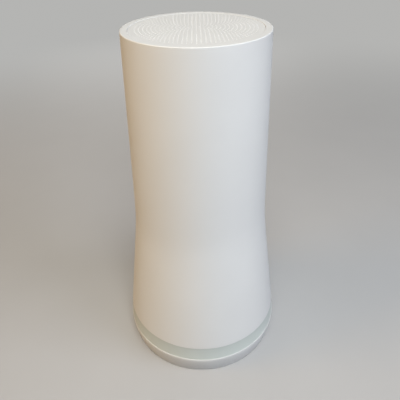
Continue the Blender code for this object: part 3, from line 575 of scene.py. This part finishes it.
def top_grille():
    """The perforated disc: rings of fine round holes with softly rounded edges, inside a plain rim."""
    curve = bpy.data.curves.new("grille_disc", "CURVE")
    curve.dimensions = "2D"
    curve.fill_mode = "BOTH"
    curve.extrude = GRILLE_THICKNESS / 2 - GRILLE_EDGE
    curve.bevel_depth = GRILLE_EDGE
    curve.bevel_resolution = 1
    grille_spline(curve, GRILLE_RADIUS - GRILLE_EDGE, (0, 0), FINE_STEPS)
    pitch = GRILLE_FIELD_RADIUS / GRILLE_RINGS
    grille_spline(curve, GRILLE_HOLE_RADIUS + GRILLE_EDGE, (0, 0), GRILLE_HOLE_STEPS)
    for ring in range(1, GRILLE_RINGS + 1):
        for at in arc((0, 0), ring * pitch, 90, 450, 6 * ring)[:-1]:
            grille_spline(curve, GRILLE_HOLE_RADIUS + GRILLE_EDGE, at, GRILLE_HOLE_STEPS)
    flat = bpy.data.objects.new("grille_disc", curve)
    bpy.context.scene.collection.objects.link(flat)
    depsgraph = bpy.context.evaluated_depsgraph_get()
    mesh = bpy.data.meshes.new_from_object(flat.evaluated_get(depsgraph))
    bpy.data.objects.remove(flat)
    mesh.transform(Matrix.Translation((0, 0, GRILLE_TOP_Z - GRILLE_THICKNESS / 2)))
    grille = bpy.data.objects.new("grille_disc", mesh)
    bpy.context.scene.collection.objects.link(grille)
    weighted(grille)
    piece(grille, MATERIALS["shell_white"], "shell_white", BODY, "top_grille")


# ---------------------------------------------------------------- light ring, foot and base


def light_ring():
    low_radius, high_radius = (FOOT[1].x - inset for inset in BAND_INSET)
    inner = BAND[1].x - BAND_WALL
    low, high = FOOT_CREST_Z - GUTTER_DEPTH + BAND_LIFT, BAND[1].z
    profile = [(inner, low)]
    profile += arc((low_radius - BAND_FILLET, low + BAND_FILLET), BAND_FILLET, -90, 6, 3)
    profile += arc((high_radius - BAND_FILLET, high - BAND_FILLET), BAND_FILLET, 6, 90, 3)
    profile.append((inner, high))
    band = weighted(lathe("diffuser_band", profile))
    piece(band, MATERIALS["diffuser"], "diffuser", BODY, "light_ring")


def foot_profile():
    """The foot's section: a face that rolls in towards the table, a crest, a gutter and a flange."""
    radius, top, bottom = FOOT[1].x, FOOT_CREST_Z, FOOT[0].z
    face_top = top - FOOT_EDGE
    crest_radius = radius - FOOT_SHOULDER
    face = []
    for index in range(FOOT_ROLL_STEPS):
        share = 1 - index / FOOT_ROLL_STEPS
        roll = (radius - FOOT_BOTTOM_RADIUS) * share**FOOT_ROLL_POWER
        face.append((radius - roll, FOOT_BULGE_Z - share * (FOOT_BULGE_Z - bottom)))
    for index in range(FOOT_SHOULDER_STEPS):
        share = index / FOOT_SHOULDER_STEPS
        face.append((radius - FOOT_SHOULDER * share**2, FOOT_BULGE_Z + share * (face_top - FOOT_BULGE_Z)))
    edge = arc((crest_radius - FOOT_EDGE, face_top), FOOT_EDGE, 20, 90, 4)
    base_radius, flange_bottom = BASE[1].x, BASE[1].z + GAP
    flange_top = flange_bottom + FLANGE_THICKNESS
    ledge_radius = base_radius - GUTTER_OVERLAP
    cavity_radius = radius - FOOT_WALL
    return [
        *face,
        *edge,
        (crest_radius - FOOT_EDGE - FOOT_CREST, top),
        (crest_radius - FOOT_EDGE - FOOT_CREST, top - GUTTER_DEPTH),
        (ledge_radius, top - GUTTER_DEPTH),
        (ledge_radius, top - FOOT_ROOF_DEPTH),
        (cavity_radius, top - FOOT_ROOF_DEPTH),
        (cavity_radius - GAP, flange_top),
        (base_radius - FLANGE_REACH, flange_top),
        (base_radius - FLANGE_REACH, flange_bottom),
        (base_radius + GAP, flange_bottom),
        (base_radius + GAP, bottom),
    ]


def foot_ring():
    foot = lathe("foot", foot_profile())
    arch_radius = ((NOTCH_WIDTH / 2) ** 2 + NOTCH_DEPTH**2) / (2 * NOTCH_DEPTH)
    arch_centre = (0, FOOT[0].z + NOTCH_DEPTH - arch_radius)
    outline = circle(arch_radius, arch_centre, NOTCH_STEPS)
    arch = prism("foot_notch", outline, FOOT[0].y - NOTCH_OVERSHOOT, NOTCH_INNER_Y, "Y")
    combine(foot, arch, "DIFFERENCE")
    weighted(foot)
    piece(foot, MATERIALS["shell_white"], "shell_white", BODY, "foot_ring")


def slot_outline(angle):
    """A radial air slot with round ends, turned to an angle in degrees."""
    inner, outer, half = 15 * MM, 32 * MM, 1.2 * MM
    points = arc((outer - half, 0), half, -90, 90, 8) + arc((inner + half, 0), half, 90, 270, 8)
    c, s = math.cos(math.radians(angle)), math.sin(math.radians(angle))
    return [(x * c - y * s, x * s + y * c) for x, y in points]


def base_plate():
    low, high, radius = BASE[0].z, BASE[1].z, BASE[1].x
    plate = prism("base_cover", circle(radius, steps=MEDIUM_STEPS), low, high)
    for index in range(AIR_SLOTS):
        slot = prism("slot", slot_outline(360 * index / AIR_SLOTS), low - BITE, high + BITE)
        combine(plate, slot, "DIFFERENCE")
    for number in (1, 2, 3):
        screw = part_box(f"base_screw_{number}")
        at = ((screw[0].x + screw[1].x) / 2, (screw[0].y + screw[1].y) / 2)
        bore = prism("bore", circle(SCREW_HEAD_RADIUS, at), low - BITE, low + SCREW_HEAD_DEPTH)
        combine(plate, bore, "DIFFERENCE")
        combine(plate, prism("hole", circle(SCREW_HOLE_RADIUS, at), low, high + BITE), "DIFFERENCE")
    soften(plate, 0.2 * MM)
    piece(plate, MATERIALS["shell_white"], "shell_white", BODY, "base_plate")


def underside():
    """The rubber ring and the blank label."""
    inner, outer, top, corner = RUBBER_INNER_RADIUS, RUBBER[1].x, RUBBER[1].z, 0.4 * MM
    profile = arc((outer - corner, corner), corner, -90, 0, 4)
    profile += [(outer, top), (inner, top)]
    profile += arc((inner + corner, corner), corner, 180, 270, 4)
    pad = weighted(lathe("rubber_pad", profile, MEDIUM_STEPS))
    piece(pad, MATERIALS["rubber_grey"], "rubber_grey", BODY, "rubber_foot")
    label = prism("blank_label", circle(LABEL[1].x, steps=MEDIUM_STEPS), LABEL[0].z, LABEL[1].z)
    soften(label, 0.08 * MM)
    piece(label, MATERIALS["label_silver"], "label_silver", BODY, "rating_label")


# ---------------------------------------------------------------- port bay


def bay_envelope():
    """A solid of revolution just inside the sleeve's face, which trims the bay's side walls."""
    low, high = BAY_Z[0] - ENVELOPE_MARGIN, BAY_Z[1] + ENVELOPE_MARGIN
    low_radius, high_radius = (shell_radius(z) - ENVELOPE_INSET for z in (low, high))
    return lathe("bay_envelope", [(0, low), (low_radius, low), (high_radius, high), (0, high)])


def centre_of(box):
    return (box[0] + box[1]) / 2


def io_panel():
    """The sunk panel and its side walls, with a window for each socket and control."""
    panel = prism("port_panel", bay_outline(GAP), PANEL_BACK_Y, PANEL_REACH, "Y")
    combine(panel, prism("hollow", bay_outline(GAP + BAY_WALL), PANEL_FACE_Y, BAY_REACH, "Y"), "DIFFERENCE")
    combine(panel, bay_envelope(), "INTERSECT")
    through = (PANEL_BACK_Y - BITE, PANEL_FACE_Y + BITE)
    for socket in (*SOCKETS.values(), POWER):
        low = (socket[0].x - GAP, through[0], socket[0].z - GAP)
        high = (socket[1].x + GAP, through[1], socket[1].z + GAP)
        combine(panel, box("window", low, high), "DIFFERENCE")
    pair, reset = centre_of(PAIR), centre_of(RESET)
    for at, radius in ((pair, PAIR_HOLE_RADIUS), (reset, RESET_HOLE_RADIUS)):
        combine(panel, prism("hole", circle(radius, (at.x, at.z)), *through, "Y"), "DIFFERENCE")
    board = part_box("button_board")
    for x in POST_XS:
        outline = circle(POST_RADIUS, (x, pair.z))
        post = prism("post", outline, board[1].y + GAP, PANEL_BACK_Y + BITE / 2, "Y")
        combine(panel, post, "UNION")
    soften(panel, 0.25 * MM)
    piece(panel, MATERIALS["panel_white"], "panel_white", BODY, "io_panel")


def network_jack(name, slot):
    """An eight-pin socket with a stepped mouth, and its row of bent spring contacts."""
    low, high = SOCKETS[name]
    x = (low.x + high.x) / 2
    jack = box(name + "_housing", low, high)
    right = [(x + a * MM, low.z + b * MM) for a, b in JACK_MOUTH]
    left = [(x - a * MM, low.z + b * MM) for a, b in reversed(JACK_MOUTH)]
    combine(jack, prism("mouth", right + left, high.y - JACK_DEPTH, high.y + BITE, "Y"), "DIFFERENCE")
    soften(jack, 0.18 * MM)
    piece(jack, MATERIALS[slot], slot, BODY, name)
    curve = bpy.data.curves.new(name + "_contacts", "CURVE")
    curve.dimensions = "3D"
    curve.bevel_depth = CONTACT_RADIUS
    curve.bevel_resolution = 2
    curve.use_fill_caps = True
    curve.resolution_u = 6
    for index in range(CONTACT_COUNT):
        contact_x = x + (index - (CONTACT_COUNT - 1) / 2) * CONTACT_PITCH
        spline = curve.splines.new("BEZIER")
        spline.bezier_points.add(len(CONTACT_PATH) - 1)
        for knot, (depth, height) in zip(spline.bezier_points, CONTACT_PATH):
            knot.co = (contact_x, high.y - depth * MM, low.z + height * MM)
            knot.handle_left_type = "AUTO"
            knot.handle_right_type = "AUTO"
    contacts = bpy.data.objects.new(name + "_contacts", curve)
    bpy.context.scene.collection.objects.link(contacts)
    piece(contacts, MATERIALS["brass"], "brass", BODY)


def power_jack():
    """The barrel socket: a block with a round bore, and a plated steel pin."""
    low, high = POWER
    at = centre_of(POWER)
    jack = box("power_jack", low, high)
    bore_end = high.y - POWER_BORE_DEPTH
    bore = prism("bore", circle(POWER_BORE_RADIUS, (at.x, at.z)), bore_end, high.y + BITE, "Y")
    combine(jack, bore, "DIFFERENCE")
    soften(jack, 0.2 * MM)
    piece(jack, MATERIALS["jack_black"], "jack_black", BODY, "dc_jack")
    tip = (POWER_PIN_RADIUS - POWER_PIN_FILLET, POWER_PIN_LENGTH - POWER_PIN_FILLET)
    profile = [(0, 0), (POWER_PIN_RADIUS, 0), *arc(tip, POWER_PIN_FILLET, 0, 90, 4), (0, POWER_PIN_LENGTH)]
    pin = weighted(lathe("power_pin", profile, SMALL_STEPS, along_y(at.x, bore_end, at.z)))
    piece(pin, MATERIALS["steel"], "steel", BODY)


def pair_button():
    """A dished cap with a rounded rim, its flange and its stem."""
    at = centre_of(PAIR)
    start = PAIR[0].y
    flange_back, flange_front = PANEL_BACK_Y - CAP_FLANGE_BACK - start, PANEL_BACK_Y - GAP - start
    top = PAIR[1].y - start
    dish = [(r * MM, top - DISH_DEPTH * (1 - (r / DISH_RADII[0]) ** 2)) for r in DISH_RADII]
    profile = [
        (0, 0),
        (CAP_STEM_RADIUS, 0),
        (CAP_STEM_RADIUS, flange_back),
        (CAP_FLANGE_RADIUS, flange_back),
        (CAP_FLANGE_RADIUS, flange_front),
        (CAP_RADIUS, flange_front),
        *arc((CAP_RADIUS - CAP_FILLET, top - CAP_FILLET), CAP_FILLET, 0, 90, 5),
        *dish,
        (0, top - DISH_DEPTH),
    ]
    cap = weighted(lathe("pair_cap", profile, MEDIUM_STEPS, along_y(at.x, start, at.z)))
    piece(cap, MATERIALS["shell_white"], "panel_white", "pair_button", "pair_button")


def port_bay():
    io_panel()
    for name in SOCKETS:
        network_jack(name, "jack_blue" if name == "wan_jack" else "jack_black")
    power_jack()
    pair_button()


# ---------------------------------------------------------------- stage, light and camera

FLOOR_COLOUR = (0.50, 0.50, 0.50)
FLOOR_HALF_SIZE = 30
FLOOR_FADE = (0.25, 1.0)  # the distances where the fade starts and where it is complete, in metres
WORLD_STRENGTH = 0.06
CAMERA_LENS = 38.2
CAMERA_PITCH = 55.43
CAMERA_ROLL = -1.24
CAMERA_AWAY = 1.0573  # in tower heights, in front of the axis
CAMERA_UP = 1.2318  # in tower heights, above the floor
BACKDROP = (0.46, 0.46, 0.45, 1.0)  # what the camera sees past the floor
# Name, place in metres, size in metres, watts and colour.
LAMPS = (
    ("overhead", (0.05, -0.5, 1.0), (0.6, 0.6), 6.6, (1.0, 1.0, 0.94)),
    ("front", (0.2, -1.3, 0.95), (0.7, 0.7), 6.2, (0.93, 0.96, 1.0)),
    ("right", (1.05, -0.5, 0.75), (0.8, 0.8), 8.2, (0.80, 0.86, 1.0)),
    ("left_lamp", (-1.2, -0.25, 0.55), (0.6, 0.6), 6.1, (1.0, 0.62, 0.23)),
    ("back_fill", (-0.1, 1.3, 0.12), (0.9, 0.2), 9.0, (1.0, 0.98, 0.95)),
)


def floor():
    """A wide pale floor. Far from the tower the camera sees it fade into the backdrop."""
    bm = bmesh.new()
    bmesh.ops.create_grid(bm, x_segments=1, y_segments=1, size=FLOOR_HALF_SIZE)
    ground = object_from(bm, "floor")
    ground.location.z = CAD_BOX[0].z
    finish = Finish("floor_paper")
    paper = finish.done(
        Base_Color=finish.shades(FLOOR_COLOUR, 0.01, 60 * MM),
        Roughness=0.75,
        Normal=finish.bump(finish.noise(1.5 * MM, 3.0), 0.02 * MM, 0.3),
    )
    distance = finish.node("VectorMath", {0: finish.place}, operation="LENGTH").outputs["Value"]
    near, far_away = FLOOR_FADE
    spread = {"Value": distance, "From Min": near, "From Max": far_away, "To Min": 0.0, "To Max": 1.0}
    far = finish.node("MapRange", spread, interpolation_type="SMOOTHSTEP").outputs["Result"]
    seen = finish.node("LightPath", {}).outputs["Is Camera Ray"]
    fade = finish.node("Math", {0: far, 1: seen}, operation="MULTIPLY").outputs["Value"]
    glow = finish.node("Emission", {"Color": BACKDROP, "Strength": 1.0}).outputs["Emission"]
    blend = finish.node("MixShader", {"Fac": fade, 1: finish.surface.outputs["BSDF"], 2: glow})
    finish.tree.links.new(blend.outputs["Shader"], finish.tree.nodes["Material Output"].inputs["Surface"])
    ground.data.materials.append(paper)
    ground.visible_diffuse = False  # the foot is lit as if it stood on dark cloth


def soft_box(name, place, size, watts, colour):
    """A rectangular area light that faces the tower's middle."""
    light = bpy.data.lights.new(name, "AREA")
    light.energy = watts
    light.shape = "RECTANGLE"
    light.size, light.size_y = size
    light.color = colour
    obj = bpy.data.objects.new(name, light)
    bpy.context.scene.collection.objects.link(obj)
    obj.location = place
    obj.visible_camera = False
    obj.rotation_euler = (Vector((0, 0, HEIGHT / 2)) - Vector(place)).to_track_quat("-Z", "Y").to_euler()


def studio():
    """Soft light: near neutral from above and low behind, cool from the front and right, warm from the left.

    The dim surroundings light the tower, and the camera sees a plain backdrop in their place.
    """
    world = bpy.data.worlds.new("studio_air")
    bpy.context.scene.world = world
    world.use_nodes = True
    tree = world.node_tree
    air = tree.nodes["Background"]
    air.inputs["Color"].default_value = (0.94, 0.97, 1.0, 1.0)
    air.inputs["Strength"].default_value = WORLD_STRENGTH
    backdrop = tree.nodes.new("ShaderNodeBackground")
    backdrop.inputs["Color"].default_value = BACKDROP
    seen = tree.nodes.new("ShaderNodeLightPath").outputs["Is Camera Ray"]
    mix = tree.nodes.new("ShaderNodeMixShader")
    tree.links.new(seen, mix.inputs["Fac"])
    tree.links.new(air.outputs["Background"], mix.inputs[1])
    tree.links.new(backdrop.outputs["Background"], mix.inputs[2])
    tree.links.new(mix.outputs["Shader"], tree.nodes["World Output"].inputs["Surface"])
    for name, place, size, watts, colour in LAMPS:
        soft_box(name, place, size, watts, colour)


def camera():
    """The photograph's view: about a tower's height in front, and a quarter of one above the top."""
    data = bpy.data.cameras.new("camera")
    data.sensor_width = 36
    data.lens = CAMERA_LENS
    obj = bpy.data.objects.new("camera", data)
    bpy.context.scene.collection.objects.link(obj)
    pitch = Matrix.Rotation(math.radians(CAMERA_PITCH), 4, "X")
    roll = Matrix.Rotation(math.radians(CAMERA_ROLL), 4, "Z")
    place = Matrix.Translation((0, -CAMERA_AWAY * HEIGHT, CAMERA_UP * HEIGHT))
    obj.matrix_world = place @ (pitch @ roll)
    bpy.context.scene.camera = obj


def colour_handling():
    view = bpy.context.scene.view_settings
    view.view_transform = "Standard"
    view.look = "None"


dress_cad_nodes()
outer_shell()
top_grille()
light_ring()
foot_ring()
base_plate()
underside()
port_bay()
floor()
studio()
camera()
colour_handling()
